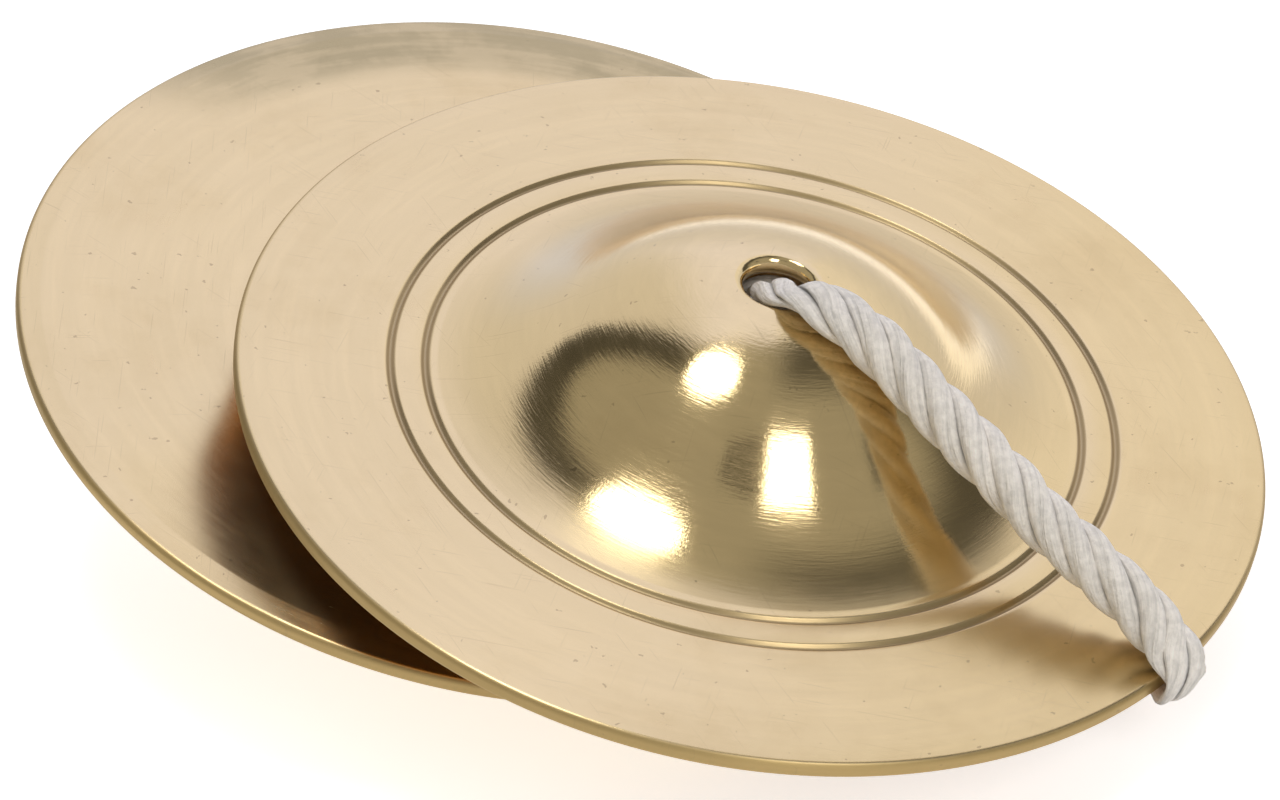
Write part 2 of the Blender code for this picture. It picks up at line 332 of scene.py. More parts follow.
def as_object(name, build):
    mesh = bpy.data.meshes.new(name)
    build.to_mesh(mesh)
    build.free()
    mesh.shade_smooth()
    made = bpy.data.objects.new(name, mesh)
    bpy.context.scene.collection.objects.link(made)
    return made


# Materials


class Nodes:
    """Adds nodes to a tree and wires them as they are made."""

    def __init__(self, tree):
        self.tree = tree

    def add(self, kind, **settings):
        made = self.tree.nodes.new(kind)
        for name, value in settings.items():
            setattr(made, name, value)
        return made

    def put(self, socket, value):
        if isinstance(value, bpy.types.NodeSocket):
            self.tree.links.new(value, socket)
        else:
            socket.default_value = value

    def maths(self, operation, first, second=0.0, third=0.0):
        made = self.add("ShaderNodeMath", operation=operation)
        for socket, value in zip(made.inputs, (first, second, third)):
            self.put(socket, value)
        return made.outputs[0]

    def vector(self, operation, first, second=(0.0, 0.0, 0.0)):
        made = self.add("ShaderNodeVectorMath", operation=operation)
        self.put(made.inputs[0], first)
        if operation == "SCALE":
            self.put(made.inputs["Scale"], second)
        else:
            self.put(made.inputs[1], second)
        scalar = operation in ("LENGTH", "DOT_PRODUCT", "DISTANCE")
        return made.outputs["Value" if scalar else "Vector"]

    def combine(self, x, y, z):
        made = self.add("ShaderNodeCombineXYZ")
        for socket, value in zip(made.inputs, (x, y, z)):
            self.put(socket, value)
        return made.outputs[0]

    def separate(self, vector):
        made = self.add("ShaderNodeSeparateXYZ")
        self.put(made.inputs[0], vector)
        return made.outputs

    def noise(self, vector, scale, detail=2.0, roughness=0.5):
        made = self.add("ShaderNodeTexNoise")
        self.put(made.inputs["Vector"], vector)
        self.put(made.inputs["Scale"], scale)
        self.put(made.inputs["Detail"], detail)
        self.put(made.inputs["Roughness"], roughness)
        return made.outputs["Fac"]

    def spread(self, value, low, high, to_low=0.0, to_high=1.0):
        made = self.add("ShaderNodeMapRange", interpolation_type="SMOOTHSTEP")
        for socket, number in zip(made.inputs, (value, low, high, to_low, to_high)):
            self.put(socket, number)
        return made.outputs[0]

    def mix(self, share, first, second):
        made = self.add("ShaderNodeMix", data_type="RGBA")
        self.put(made.inputs["Factor"], share)
        self.put(made.inputs["A"], first)
        self.put(made.inputs["B"], second)
        return made.outputs["Result"]

    def bump(self, height, distance, strength=1.0, normal=None):
        made = self.add("ShaderNodeBump")
        self.put(made.inputs["Height"], height)
        self.put(made.inputs["Distance"], distance)
        self.put(made.inputs["Strength"], strength)
        if normal is not None:
            self.put(made.inputs["Normal"], normal)
        return made.outputs["Normal"]


def new_material(name):
    made = bpy.data.materials.new(name)
    made.use_nodes = True
    made.node_tree.nodes.clear()
    nodes = Nodes(made.node_tree)
    shader = nodes.add("ShaderNodeBsdfPrincipled")
    output = nodes.add("ShaderNodeOutputMaterial")
    made.node_tree.links.new(shader.outputs[0], output.inputs["Surface"])
    return made, nodes, shader


def turned_brass(name, place, look, boss_roughness, rim_roughness, edge, seed, upper):
    """Satin brass with turning marks round the cymbal's own axis."""
    made, nodes, shader = new_material(name)
    where = nodes.add("ShaderNodeTexCoord").outputs["Object"]
    local = nodes.add("ShaderNodeMapping", vector_type="TEXTURE")
    nodes.put(local.inputs["Vector"], where)
    nodes.put(local.inputs["Location"], place.translation)
    nodes.put(local.inputs["Rotation"], place.to_euler())
    x, y, z = nodes.separate(local.outputs[0])
    radius = nodes.vector("LENGTH", nodes.combine(x, y, 0.0))
    safe = nodes.maths("MAXIMUM", radius, 0.0001)
    cosine = nodes.maths("DIVIDE", x, safe)
    sine = nodes.maths("DIVIDE", y, safe)

    def drawn_out(east, north, angle, along, across):
        """Flat coordinates turned and stretched, so that noise in them runs in long lines."""
        c, s = math.cos(angle + seed), math.sin(angle + seed)
        run = nodes.maths("ADD", nodes.maths("MULTIPLY", east, c), nodes.maths("MULTIPLY", north, s))
        off = nodes.maths("SUBTRACT", nodes.maths("MULTIPLY", north, c), nodes.maths("MULTIPLY", east, s))
        return nodes.combine(
            nodes.maths("MULTIPLY", run, along), nodes.maths("MULTIPLY", off, across), angle * 9.0
        )

    def round_marks(across, along, detail, shift):
        """Noise drawn out round the axis: across in marks per metre, along in marks per turn."""
        stretched = nodes.combine(
            nodes.maths("ADD", nodes.maths("MULTIPLY", radius, across), shift + seed),
            nodes.maths("MULTIPLY", cosine, along),
            nodes.maths("MULTIPLY", sine, along),
        )
        stretched = nodes.vector("ADD", stretched, nodes.combine(0.0, 0.0, nodes.maths("MULTIPLY", z, across)))
        return nodes.noise(stretched, 1.0, detail, 0.6)

    fine = round_marks(5200.0, 7.0, 3.0, 0.0)
    coarse = round_marks(900.0, 2.5, 2.0, 11.0)
    bands = round_marks(230.0, 0.6, 1.0, 31.0)
    cloud = nodes.noise(where, 55.0, 3.0, 0.55)
    smudge = nodes.noise(where, 160.0, 4.0, 0.65)
    grain = nodes.noise(where, 5200.0, 2.0, 0.6)

    specks = nodes.spread(nodes.noise(where, 1500.0, 2.0, 0.5), 0.715, 0.76)
    scratches = [
        nodes.spread(nodes.noise(drawn_out(x, y, angle, 170.0, 8200.0), 1.0, 1.0), 0.72, 0.76)
        for angle in (0.5, 1.9, 2.7)
    ]
    scratched = nodes.maths("MAXIMUM", nodes.maths("MAXIMUM", *scratches[:2]), scratches[2])

    grooves = []
    for middle in (0.0239, 0.0264):
        off = nodes.maths("ABSOLUTE", nodes.maths("SUBTRACT", radius, middle))
        grooves.append(nodes.spread(off, 0.00022, 0.00042, 1.0, 0.0))
    grimy = nodes.maths("MAXIMUM", *grooves)
    grimy = nodes.maths("MULTIPLY", grimy, nodes.spread(z, -0.0011, -0.0007))

    boss = nodes.spread(radius, 0.0185, 0.0236, 1.0, 0.0)
    tarnish = nodes.spread(nodes.maths("ADD", nodes.maths("MULTIPLY", cloud, 0.6), nodes.maths("MULTIPLY", smudge, 0.4)), 0.48, 0.72)
    # Painted shade: a narrow band at the edge of the rim is drawn in darker brass all round, standing in for the edge's
    # darker reflection. The band is also made rougher.
    edge_band_shade = nodes.spread(radius, edge - 0.00032, edge - 0.00012)
    dull = nodes.maths("MULTIPLY", tarnish, 0.35)
    tone = nodes.mix(dull, (*look.colour, 1.0), (*look.tarnish, 1.0))
    tone = nodes.mix(edge_band_shade, tone, (0.47, 0.34, 0.15, 1.0))
    streak = nodes.spread(coarse, 0.35, 0.75, 0.97, 1.01)
    tone = scaled_colour(nodes, tone, streak)
    dirt = nodes.maths("MAXIMUM", nodes.maths("MULTIPLY", grimy, 0.62), nodes.maths("MULTIPLY", specks, 0.45))
    dirt = nodes.maths("MAXIMUM", dirt, nodes.maths("MULTIPLY", scratched, 0.16))
    tone = nodes.mix(dirt, tone, (0.30, 0.22, 0.12, 1.0))
    inner = nodes.spread(z, -0.0012, -0.0008, 1.0, 0.0)
    if upper:
        # Painted shade: the upper cymbal's underside, away from its edge band, is drawn deep red-brown, standing in for
        # the dark warm reflections in the gap between the two plates.
        underside_shade = nodes.maths("MULTIPLY", inner, nodes.maths("SUBTRACT", 1.0, edge_band_shade))
        tone = nodes.mix(underside_shade, tone, (0.46, 0.245, 0.078, 1.0))
        # Painted reflection: a paler band on the boss's flank, on its far side only, drawn to stand for a pale
        # reflection there.
        painted_reflection = nodes.maths("MULTIPLY", nodes.spread(radius, 0.0130, 0.0160), nodes.spread(radius, 0.0170, 0.0215, 1.0, 0.0))
        beyond = nodes.separate(nodes.vector("SUBTRACT", where, place.translation))[1]
        painted_reflection = nodes.maths("MULTIPLY", painted_reflection, nodes.spread(beyond, 0.0, 0.010))
        tone = nodes.mix(nodes.maths("MULTIPLY", painted_reflection, 0.6), tone, (0.74, 0.67, 0.53, 1.0))
    else:
        # Painted shade: the far part of the lower rim is drawn darker, unevenly, standing in for a dark reflection
        # there.
        far = nodes.spread(nodes.separate(where)[1], 0.019, 0.029)
        uneven = nodes.spread(nodes.maths("ADD", coarse, smudge), 0.75, 1.15, 0.60, 1.0)
        far_rim_shade = nodes.maths("MULTIPLY", nodes.maths("MULTIPLY", far, uneven), nodes.spread(radius, 0.0295, 0.0330))
        tone = nodes.mix(nodes.maths("MULTIPLY", far_rim_shade, 0.80), tone, (0.37, 0.30, 0.150, 1.0))
    nodes.put(shader.inputs["Base Color"], tone)
    shader.inputs["Metallic"].default_value = 1.0

    level = nodes.maths("ADD", nodes.maths("MULTIPLY", boss, boss_roughness - rim_roughness), rim_roughness)
    level = nodes.maths("ADD", level, nodes.maths("MULTIPLY", edge_band_shade, 0.30))
    level = nodes.maths("ADD", level, nodes.maths("MULTIPLY", grimy, 0.15))
    vary = nodes.maths("MULTIPLY", nodes.maths("SUBTRACT", fine, 0.5), 0.10)
    vary = nodes.maths("ADD", vary, nodes.maths("MULTIPLY", nodes.maths("SUBTRACT", smudge, 0.5), 0.12))
    nodes.put(shader.inputs["Roughness"], nodes.maths("MAXIMUM", nodes.maths("ADD", level, vary), 0.04))

    shader.inputs["Anisotropic"].default_value = 0.7
    outward = nodes.add("ShaderNodeVectorTransform", vector_type="VECTOR")
    outward.convert_from, outward.convert_to = "OBJECT", "WORLD"
    centre = nodes.vector("SUBTRACT", where, place.translation)
    up = place.to_3x3() @ Vector((0.0, 0.0, 1.0))
    along_axis = nodes.vector("SCALE", tuple(up), nodes.vector("DOT_PRODUCT", centre, tuple(up)))
    nodes.put(outward.inputs[0], nodes.vector("SUBTRACT", centre, along_axis))
    nodes.put(shader.inputs["Tangent"], outward.outputs[0])

    height = nodes.maths("ADD", fine, nodes.maths("MULTIPLY", grain, 0.35))
    deeper = nodes.maths("ADD", 1.0, nodes.maths("MULTIPLY", boss, 8.0))
    face = None if upper else leaning_face(nodes, where)
    normal = nodes.bump(nodes.maths("MULTIPLY", height, deeper), look.scratch, 1.0, face)
    normal = nodes.bump(coarse, look.scratch * 1.6, 1.0, normal)
    normal = nodes.bump(bands, look.scratch * 5.0, 1.0, normal)
    nodes.put(shader.inputs["Normal"], normal)

    return made


def leaning_face(nodes, where):
    """The lower face's normal, leaning a little where the plate isn't quite flat."""
    off = nodes.vector("DISTANCE", where, (-0.0258, -0.0232, 0.0180))
    lean = nodes.vector("SCALE", (0.13, 0.03, 0.0), nodes.spread(off, 0.004, 0.0150, 1.0, 0.0))
    turned = nodes.add("ShaderNodeVectorTransform", vector_type="VECTOR")
    turned.convert_from, turned.convert_to = "OBJECT", "WORLD"
    nodes.put(turned.inputs[0], lean)
    flat = nodes.add("ShaderNodeNewGeometry").outputs["Normal"]
    return nodes.vector("NORMALIZE", nodes.vector("ADD", flat, turned.outputs[0]))


def scaled_colour(nodes, colour, level):
    grey = nodes.add("ShaderNodeCombineColor")
    for socket in grey.inputs:
        if socket.name in ("Red", "Green", "Blue"):
            nodes.put(socket, level)
    made = nodes.add("ShaderNodeMix", data_type="RGBA", blend_type="MULTIPLY")
    nodes.put(made.inputs["Factor"], 1.0)
    nodes.put(made.inputs["A"], colour)
    nodes.put(made.inputs["B"], grey.outputs[0])
    return made.outputs["Result"]


def laid_cotton(name, look):
    """Soft white cotton whose fibres run along each strand."""
    made, nodes, shader = new_material(name)
    strand = nodes.add("ShaderNodeAttribute", attribute_name="strand")
    along, cosine, sine = nodes.separate(strand.outputs["Vector"])
    wound = nodes.maths("MULTIPLY", along, -380.0)
    turned = nodes.add("ShaderNodeVectorRotate", rotation_type="Z_AXIS")
    nodes.put(turned.inputs["Vector"], nodes.combine(cosine, sine, 0.0))
    nodes.put(turned.inputs["Angle"], wound)
    lengthways = nodes.combine(0.0, 0.0, nodes.maths("MULTIPLY", along, 260.0))
    fibres = nodes.vector("ADD", nodes.vector("SCALE", turned.outputs[0], 3.0), lengthways)
    thread = nodes.noise(fibres, 1.6, 4.0, 0.62)
    east, north, _ = nodes.separate(turned.outputs[0])
    yarns = nodes.maths("ABSOLUTE", nodes.maths("MULTIPLY", nodes.maths("MULTIPLY", east, north), 2.0))
    where = nodes.add("ShaderNodeTexCoord").outputs["Object"]
    fuzz = nodes.noise(where, 2900.0, 3.0, 0.6)
    cloud = nodes.noise(where, 210.0, 2.0, 0.5)
    reach = nodes.add("ShaderNodeAttribute", attribute_name="reach").outputs["Fac"]
    # Painted shade: the cotton is drawn darker where its surface lies deep in the cord, in the slits between the
    # strands.
    slit_shade = nodes.spread(reach, 0.64, 0.84, 0.22, 1.0)
    mottle = nodes.spread(nodes.noise(where, 1700.0, 3.0, 0.6), 0.35, 0.65, 0.90, 1.04)
    slit_shade = nodes.maths("MULTIPLY", slit_shade, mottle)
    shade = nodes.maths("ADD", nodes.spread(thread, 0.30, 0.62, 0.88, 1.03), nodes.spread(cloud, 0.3, 0.7, -0.05, 0.04))
    shade = nodes.maths("MULTIPLY", shade, slit_shade)
    # Painted shade: the cotton is also darkened in the creases between the yarns; the same pattern gives the yarn
    # relief below.
    shade = nodes.maths("MULTIPLY", shade, nodes.spread(yarns, 0.0, 0.40, 0.90, 1.0))
    nodes.put(shader.inputs["Base Color"], scaled_colour(nodes, (*look.colour, 1.0), shade))
    shader.inputs["Roughness"].default_value = 0.92
    shader.inputs["Specular IOR Level"].default_value = 0.2
    shader.inputs["Sheen Weight"].default_value = 0.25
    shader.inputs["Sheen Roughness"].default_value = 0.5
    normal = nodes.bump(fuzz, 0.00010)
    normal = nodes.bump(thread, 0.00014, 1.0, normal)
    normal = nodes.bump(yarns, 0.00012, 1.0, normal)
    nodes.put(shader.inputs["Normal"], normal)
    return made


# Cord


def smooth_route(points, steps=24):
    """A centripetal Catmull-Rom curve through the route's own points."""
    points = [Vector(point) for point in points]
    ends = [points[0] * 2 - points[1], *points, points[-1] * 2 - points[-2]]
    fine = []
    for before, start, end, after in zip(ends, ends[1:], ends[2:], ends[3:]):
        t0 = 0.0
        t1 = t0 + math.sqrt((start - before).length)
        t2 = t1 + math.sqrt((end - start).length)
        t3 = t2 + math.sqrt((after - end).length)
        for i in range(steps):
            t = t1 + (t2 - t1) * i / steps
            a1 = before.lerp(start, (t - t0) / (t1 - t0))
            a2 = start.lerp(end, (t - t1) / (t2 - t1))
            a3 = end.lerp(after, (t - t2) / (t3 - t2))
            b1 = a1.lerp(a2, (t - t0) / (t2 - t0))
            b2 = a2.lerp(a3, (t - t1) / (t3 - t1))
            fine.append(b1.lerp(b2, (t - t1) / (t2 - t1)))
    fine.append(points[-1])
    return fine


def stations(fine, spacing):
    """Points at equal spacing along a fine line."""
    found = [fine[0].copy()]
    left = spacing
    for a, b in zip(fine, fine[1:]):
        run = (b - a).length
        while left <= run:
            found.append(a.lerp(b, left / run))
            left += spacing
        left -= run
    return found


def carried_frames(line):
    """A heading and a side direction at each station, carried along without twist."""
    headings = []
    for i in range(len(line)):
        ahead = line[min(i + 1, len(line) - 1)] - line[max(i - 1, 0)]
        headings.append(ahead.normalized())
    side = headings[0].orthogonal().normalized()
    frames = []
    for heading in headings:
        side = (side - heading * side.dot(heading)).normalized()
        frames.append((heading, side, heading.cross(side)))
    return frames


def width_share(position, waists):
    """How wide the cord is at a distance along it, 1 where nothing draws it narrow."""
    share = 1.0
    for middle, reach, narrowest in waists:
        near = max(0.0, 1.0 - abs(position - middle) / reach)
        share -= (1.0 - narrowest) * near * near * (3 - 2 * near)
    return share


def pressed_flat(line, frames, radius, metal, waists):
    """Where the cord bears on the metal, how flat it is pressed, in which direction, and how narrow."""
    raw = []
    for centre in line:
        touch, _, _, distance = metal.find_nearest(centre)
        raw.append((max(0.42, min(1.0, (distance - 0.0001) / radius)), (centre - touch).normalized()))
    eased = []
    for i, (heading, _, _) in enumerate(frames):
        near = raw[max(0, i - 3) : i + 4]
        flat = sum(share for share, _ in near) / len(near)
        toward = sum((way for _, way in near), Vector())
        toward = (toward - heading * toward.dot(heading)).normalized()
        eased.append((flat, toward, heading.cross(toward), width_share(i * STATION, waists)))
    return eased


def flattened(offset, press):
    """An offset from the cord's centreline, pressed flat and spread sideways."""
    flat, toward, sideways, narrow = press
    depth = offset.dot(toward)
    width = offset.dot(sideways)
    return (offset + toward * depth * (flat - 1) + sideways * width * (1 - flat) * 0.35) * narrow


def rope(name, line, sizes, skin, metal, waists=(), turn=0.0):
    """A laid rope: its strands wind round the line, each a soft tube with fibres of its own."""
    frames = carried_frames(line)
    press = pressed_flat(line, frames, sizes.diameter / 2, metal, waists)
    strand_radius = sizes.diameter * 0.228
    wind_radius = sizes.diameter / 2 - strand_radius
    curve = bpy.data.curves.new(name, "CURVE")
    curve.dimensions = "3D"
    curve.bevel_depth = strand_radius
    curve.bevel_resolution = 5
    centres = []
    offsets = []
    for k in range(sizes.strands):
        spline = curve.splines.new("POLY")
        spline.points.add(len(line) - 1)
        for i, (centre, (_, side, over)) in enumerate(zip(line, frames)):
            uneven = noise.noise(Vector((i * STATION * 170, k * 5.3, turn * 3)))
            angle = 2 * math.pi * (i * STATION / sizes.lay + k / sizes.strands) + turn
            angle += uneven * 0.16
            offset = (side * math.cos(angle) + over * math.sin(angle)) * wind_radius * (1 + uneven * 0.07)
            middle = centre + flattened(offset, press[i])
            spline.points[i].co = (*middle, 1.0)
            centres.append(middle)
            offsets.append(offset)
    shaper = bpy.data.objects.new(name + "_shaper", curve)
    bpy.context.scene.collection.objects.link(shaper)
    bpy.context.view_layer.update()
    graph = bpy.context.evaluated_depsgraph_get()
    mesh = bpy.data.meshes.new_from_object(shaper.evaluated_get(graph))
    bpy.data.objects.remove(shaper, do_unlink=True)
    mesh.name = name

    per_ring = len(mesh.vertices) // len(centres)
    values = []
    depths = []
    for index, vert in enumerate(mesh.vertices):
        ring, spot = divmod(index, per_ring)
        number, station = divmod(ring, len(line))
        about = 2 * math.pi * spot / per_ring
        values += [station * STATION + number, math.cos(about), math.sin(about)]
        out = vert.co - centres[ring]
        lump = 1 + 0.05 * noise.noise(vert.co * 900) + 0.02 * noise.noise(vert.co * 3000)
        depths.append((offsets[ring] + out).length * 2 / sizes.diameter)
        vert.co = centres[ring] + flattened(out * lump, press[station])
        vert.co = clear_of_metal(vert.co, metal)
    layer = mesh.attributes.new("strand", "FLOAT_VECTOR", "POINT")
    layer.data.foreach_set("vector", values)
    # How deep each point lies in the cord; the cotton uses it to paint shade in the slits between strands.
    layer = mesh.attributes.new("reach", "FLOAT", "POINT")
    layer.data.foreach_set("value", depths)
    close_ends(mesh)
    mesh.shade_smooth()
    mesh.materials.clear()
    mesh.materials.append(skin)
    made = bpy.data.objects.new(name, mesh)
    bpy.context.scene.collection.objects.link(made)
    return made


def close_ends(mesh):
    build = bmesh.new()
    build.from_mesh(mesh)
    open_edges = [edge for edge in build.edges if edge.is_boundary]
    bmesh.ops.holes_fill(build, edges=open_edges, sides=0)
    bmesh.ops.recalc_face_normals(build, faces=build.faces)
    build.to_mesh(mesh)
    build.free()


def clear_of_metal(point, metal):
    """The point itself, or the nearest place just off the metal where it would be in it."""
    touch, normal, _, distance = metal.find_nearest(point)
    away = (point - touch).dot(normal)
    if distance > 0.0007 or away > 0.00006:
        return point
    return touch + normal * 0.00006


def metal_surface():
    """The two turned cymbals as one surface to lay the cord on."""
    build = bmesh.new()
    for name in ("upper_cymbal_turned", "lower_cymbal_turned"):
        build.from_mesh(bpy.data.objects[name].data)
    tree = BVHTree.FromBMesh(build)
    build.free()
    return tree


# Operators


class MANJIRA_OT_camera(bpy.types.Operator):
    """Set the camera at the photograph's viewpoint."""

    bl_idname = "manjira.camera"
    bl_label = "Camera"

    def execute(self, context):
        look = context.scene.manjira_stage
        data = bpy.data.cameras.new("camera")
        data.lens = look.lens
        data.sensor_width = 36.0
        data.clip_start = 0.01
        made = bpy.data.objects.new("camera", data)
        right = Vector((0.997827, -0.022811, -0.061818))
        up = Vector((0.064483, 0.531013, 0.844907))
        back = right.cross(up)
        turn_to = Matrix((right, up, back)).transposed().to_4x4()
        made.matrix_world = Matrix.Translation((0.010679, -0.277595, 0.184665)) @ turn_to
        context.scene.collection.objects.link(made)
        context.scene.camera = made
        return {"FINISHED"}


class MANJIRA_OT_cord(bpy.types.Operator):
    """Lay the cotton cord from the upper knot, over the rim and round to the lower knot."""

    bl_idname = "manjira.cord"
    bl_label = "Cord"

    def execute(self, context):
        sizes = context.scene.manjira_cord
        skin = laid_cotton("laid_cotton", sizes)
        metal = metal_surface()
        over = []
        for reach, bearing, height in OVER_ROUTE:
            turned = math.radians(bearing)
            level = (reach * math.cos(turned), reach * math.sin(turned), height)
            over.append(UPPER @ Vector(level))
        line = stations(smooth_route([*over, *UNDER_ROUTE]), STATION)
        made = rope("laid_cord", line, sizes, skin, metal, WAISTS)
        for name, seat, axis, body in (
            ("upper_knot", line[0], -(UPPER.to_3x3() @ Vector((0, 0, 1))), "lid"),
            ("lower_knot", line[-1], -(LOWER.to_3x3() @ Vector((0, 0, 1))), "cord_base"),
        ):
            stopper_knot(name, seat, axis, sizes, skin, metal, body)
        up = UPPER.to_3x3() @ Vector((0.0, 0.0, 1.0))
        hinge = Vector(JOINTS["opening"]["pos_m"])
        outward = hinge - UPPER.translation
        outward = (outward - up * outward.dot(up)).normalized()
        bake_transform(made)
        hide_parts("cord_over_upper", "cord_between_and_under")
        return {"FINISHED"}


def stopper_knot(name, seat, axis, sizes, skin, metal, body):
    """An overhand knot of the same rope, drawn tight under the crown hole."""
    turn_to = axis.to_track_quat("Z", "X").to_matrix().to_4x4()
    place = Matrix.Translation(seat) @ turn_to
    points = [Vector((0.0, 0.0, -0.0004)), Vector((0.0, 0.0, 0.0012))]
    wide = 0.0030
    for i in range(17):
        t = 2 * math.pi * (i / 16) * 1.5
        ring = wide * (1 + 0.32 * math.cos(1.5 * t))
        points.append(
            Vector((ring * math.cos(t), ring * math.sin(t), 0.0040 + 0.0017 * math.sin(1.5 * t)))
        )
    points.append(Vector((-0.0045, 0.0010, 0.0062)))
    line = stations(smooth_route([place @ point for point in points]), STATION)
    made = rope(name, line, sizes, skin, metal)
    made.name = name + "_tied"
    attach(made, body)
    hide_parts(name)
    return made


class MANJIRA_OT_cymbals(bpy.types.Operator):
    """Turn the upper and the lower cymbal."""

    bl_idname = "manjira.cymbals"
    bl_label = "Cymbals"

    def execute(self, context):
        sizes = context.scene.manjira_cymbal
        look = context.scene.manjira_brass
        profile = cymbal_profile(sizes)
        for name, place, body, slot, rim, seed in (
            ("upper_cymbal", UPPER, "upper", "upper_brass", 0.24, 0.0),
            ("lower_cymbal", LOWER, "lower", "lower_brass", 0.24, 57.0),
        ):
            made = turn(name + "_turned", profile, sizes.turning, place)
            skin = turned_brass(slot, place, look, 0.12, rim, sizes.radius, seed, body == "upper")
            made.data.materials.append(skin)
            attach(made, body)
            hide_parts(name)
        return {"FINISHED"}


class MANJIRA_OT_stage(bpy.types.Operator):
    """Lay the white table, hang the lights and set the surround."""

    bl_idname = "manjira.stage"
    bl_label = "Stage"

    def execute(self, context):
        look = context.scene.manjira_stage
        build = bmesh.new()
        bmesh.ops.create_grid(build, x_segments=1, y_segments=1, size=1.5)
        table = as_object("table", build)
        table.data.materials.append(white_table())
        surround(context.scene, look)
        grey_screen()
        for name, shape, azimuth, height, roll, size, radiance in (
            ("round_lamp", "DISK", -113.0, 82.0, 0.0, (0.255, 0.255), 6.0),
            ("tall_lamp", "RECTANGLE", -60.5, 38.0, -24.0, (0.215, 0.37), 5.5),
        ):
            soft_lamp(name, shape, azimuth, height, roll, size, radiance)
        view = context.scene.view_settings
        view.view_transform = "Standard"
        return {"FINISHED"}


def direction(azimuth, height):
    turned = math.radians(azimuth)
    raised = math.radians(height)
    level = math.cos(raised)
    return Vector((level * math.cos(turned), level * math.sin(turned), math.sin(raised)))


def soft_lamp(name, shape, azimuth, height, roll, size, radiance):
    """A soft box a long arm's reach from the cymbals, facing them."""
    data = bpy.data.lights.new(name, "AREA")
    data.shape = shape
    data.size, data.size_y = size
    part = 1.0 if shape == "RECTANGLE" else math.pi / 4
    data.energy = radiance * math.pi * size[0] * size[1] * part
    made = bpy.data.objects.new(name, data)
    away = direction(azimuth, height)
    level = Vector((0.0, 0.0, 1.0)).cross(away).normalized()
    stand = Matrix((level, away.cross(level), away)).transposed().to_4x4()
    turned = Matrix.Rotation(math.radians(roll), 4, "Z")
    made.matrix_world = Matrix.Translation(away * 0.8) @ stand @ turned
    bpy.context.scene.collection.objects.link(made)


def grey_screen():
    """A domed screen: grey round the viewer's side, bright with cool daylight at the back."""
    build = bmesh.new()
    bmesh.ops.create_uvsphere(build, u_segments=64, v_segments=32, radius=1.3)
    bmesh.ops.bisect_plane(
        build,
        geom=list(build.verts) + list(build.edges) + list(build.faces),
        plane_co=(0.0, 0.0, 0.0),
        plane_no=(0.0, 0.0, -1.0),
        clear_outer=True,
    )
    screen = as_object("grey_screen", build)
    screen.visible_camera = False
    made = bpy.data.materials.new("grey_screen")
    made.use_nodes = True
    made.node_tree.nodes.clear()
    nodes = Nodes(made.node_tree)
    ray = nodes.vector("NORMALIZE", nodes.add("ShaderNodeTexCoord").outputs["Object"])
    across, ahead, overhead = nodes.separate(ray)

    def card(azimuth, height, wide, tall):
        """1 on an oblong card hung in a direction, its half sizes in degrees."""
        facing = direction(azimuth, height)
        level = Vector((0.0, 0.0, 1.0)).cross(facing).normalized()
        mask = nodes.spread(nodes.vector("DOT_PRODUCT", ray, tuple(facing)), 0.0, 0.1)
        for side, half in ((level, wide), (facing.cross(level), tall)):
            off = nodes.maths("ABSOLUTE", nodes.vector("DOT_PRODUCT", ray, tuple(side)))
            reach = math.sin(math.radians(half))
            mask = nodes.maths("MULTIPLY", mask, nodes.spread(off, reach - 0.010, reach + 0.010, 1.0, 0.0))
        return mask

    left = nodes.maths("ADD", ahead, across)
    right = nodes.maths("SUBTRACT", ahead, nodes.maths("MULTIPLY", across, 0.54))
    inside = nodes.maths("MINIMUM", nodes.maths("ADD", left, 0.01), nodes.maths("ADD", right, 0.02))
    inside = nodes.maths("MINIMUM", inside, nodes.maths("SUBTRACT", ahead, 0.13))
    opening = nodes.spread(inside, -0.03, 0.02)
    left_edge = nodes.maths(
        "MULTIPLY", nodes.spread(left, -0.38, -0.27), nodes.spread(across, -0.10, -0.26)
    )
    right_edge = nodes.maths(
        "MULTIPLY", nodes.spread(right, -0.60, -0.25), nodes.spread(across, 0.22, 0.48)
    )
    level = 0.42
    for mask, change in (
        (left_edge, -0.34),
        (right_edge, -0.32),
        (card(-81.0, 51.3, 7.0, 2.2), -0.37),
        (card(-17.0, 27.5, 4.4, 3.6), -0.37),
    ):
        level = nodes.maths("ADD", level, nodes.maths("MULTIPLY", mask, change))
    level = nodes.maths("MAXIMUM", level, 0.06)
    glow = nodes.add("ShaderNodeEmission")
    nodes.put(glow.inputs["Color"], (1.0, 0.97, 0.88, 1.0))
    nodes.put(glow.inputs["Strength"], level)
    dimmer = nodes.maths(
        "MAXIMUM", nodes.spread(across, 0.03, -0.30), nodes.spread(overhead, 0.55, 0.15)
    )
    warmer = nodes.maths("MAXIMUM", dimmer, nodes.spread(across, 0.28, 0.38))
    daylight = nodes.add("ShaderNodeEmission")
    nodes.put(daylight.inputs["Color"], nodes.mix(warmer, (1.0, 1.03, 1.34, 1.0), (1.0, 1.0, 1.10, 1.0)))
    nodes.put(daylight.inputs["Strength"], nodes.maths("SUBTRACT", 1.02, nodes.maths("MULTIPLY", dimmer, 0.21)))
    either = nodes.add("ShaderNodeMixShader")
    nodes.put(either.inputs[0], opening)
    made.node_tree.links.new(glow.outputs[0], either.inputs[1])
    made.node_tree.links.new(daylight.outputs[0], either.inputs[2])
    output = nodes.add("ShaderNodeOutputMaterial")
    made.node_tree.links.new(either.outputs[0], output.inputs["Surface"])
    made.cycles.emission_sampling = "NONE"
    screen.data.materials.append(made)


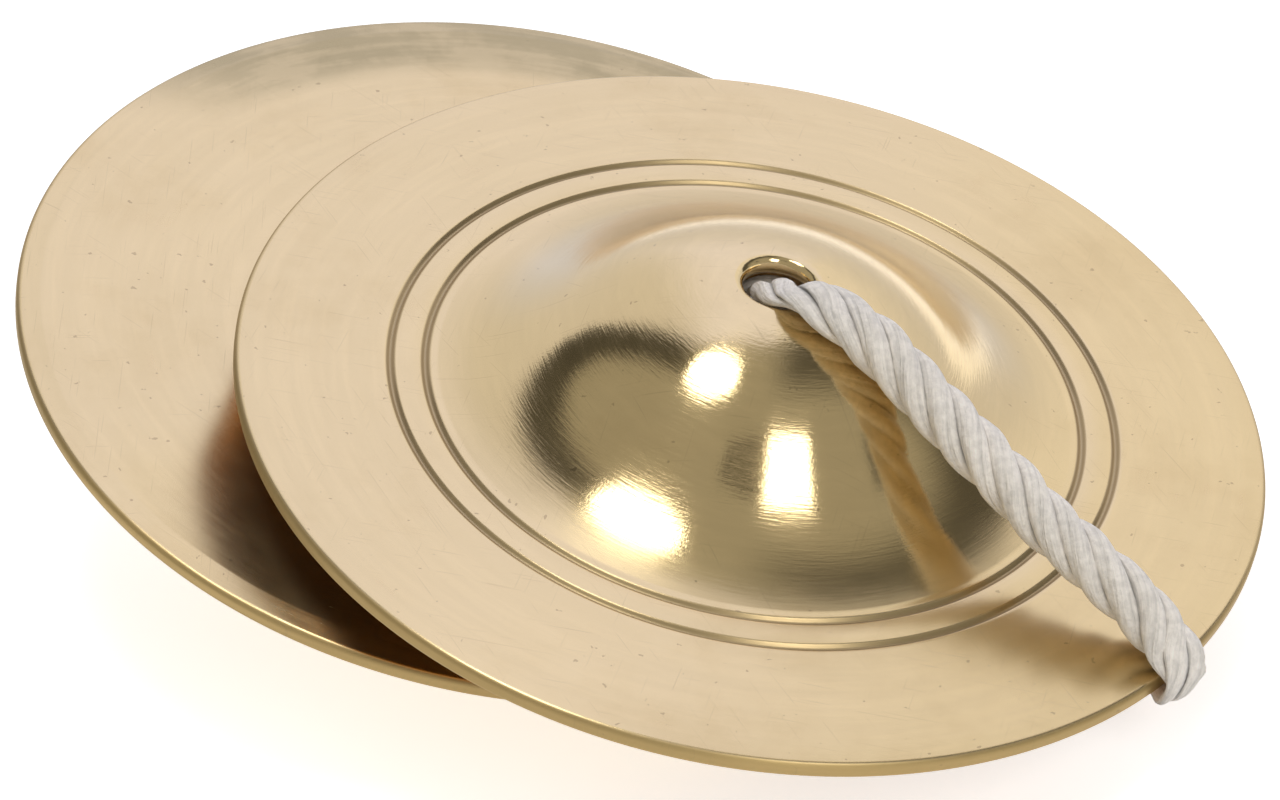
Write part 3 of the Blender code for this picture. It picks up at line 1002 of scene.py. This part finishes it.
def white_table():
    """A matt white table that the camera and the metal both see as white."""
    made, nodes, shader = new_material("white_table")
    shader.inputs["Base Color"].default_value = (0.92, 0.92, 0.92, 1.0)
    shader.inputs["Roughness"].default_value = 0.9
    shader.inputs["Specular IOR Level"].default_value = 0.0
    path = nodes.add("ShaderNodeLightPath")
    seen = nodes.maths("MAXIMUM", path.outputs["Is Camera Ray"], path.outputs["Is Glossy Ray"])
    seen = nodes.maths("MAXIMUM", seen, path.outputs["Is Transmission Ray"])
    glow = nodes.add("ShaderNodeEmission")
    nodes.put(glow.inputs["Color"], (1.0, 1.0, 1.0, 1.0))
    nodes.put(glow.inputs["Strength"], nodes.maths("MULTIPLY", seen, 0.60))
    both = nodes.add("ShaderNodeAddShader")
    output = made.node_tree.nodes["Material Output"]
    made.node_tree.links.new(shader.outputs[0], both.inputs[0])
    made.node_tree.links.new(glow.outputs[0], both.inputs[1])
    made.node_tree.links.new(both.outputs[0], output.inputs["Surface"])
    return made


def surround(scene, look):
    """A plain white room."""
    world = bpy.data.worlds.new("surround")
    world.use_nodes = True
    world.node_tree.nodes.clear()
    scene.world = world
    nodes = Nodes(world.node_tree)
    shader = nodes.add("ShaderNodeBackground")
    nodes.put(shader.inputs["Color"], (1.0, 1.0, 1.0, 1.0))
    nodes.put(shader.inputs["Strength"], look.surround)
    output = nodes.add("ShaderNodeOutputWorld")
    world.node_tree.links.new(shader.outputs[0], output.inputs["Surface"])


class MANJIRA_PT_panel(bpy.types.Panel):
    """Sidebar list of the manjira's pieces."""

    bl_label = "Manjira"
    bl_idname = "MANJIRA_PT_panel"
    bl_space_type = "VIEW_3D"
    bl_region_type = "UI"
    bl_category = "Manjira"

    def draw(self, context):
        layout = self.layout
        for operator in OPERATORS:
            layout.operator(operator.bl_idname)
        for name, group in GROUPS.items():
            box = layout.box()
            for field in group.__annotations__:
                box.prop(getattr(context.scene, name), field)


OPERATORS = (MANJIRA_OT_camera, MANJIRA_OT_cymbals, MANJIRA_OT_cord, MANJIRA_OT_stage)
GROUPS = {
    "manjira_cymbal": CymbalSizes,
    "manjira_brass": BrassLook,
    "manjira_cord": CordSizes,
    "manjira_stage": StageLook,
}


def register():
    for name, group in GROUPS.items():
        bpy.utils.register_class(group)
        setattr(bpy.types.Scene, name, bpy.props.PointerProperty(type=group))
    for operator in OPERATORS:
        bpy.utils.register_class(operator)
    bpy.utils.register_class(MANJIRA_PT_panel)


def unregister():
    bpy.utils.unregister_class(MANJIRA_PT_panel)
    for operator in reversed(OPERATORS):
        bpy.utils.unregister_class(operator)
    for name, group in reversed(GROUPS.items()):
        delattr(bpy.types.Scene, name)
        bpy.utils.unregister_class(group)


def main():
    register()
    bpy.ops.manjira.camera()
    bpy.ops.manjira.cymbals()
    bpy.ops.manjira.cord()
    bpy.ops.manjira.stage()


if __name__ == "__main__":
    main()
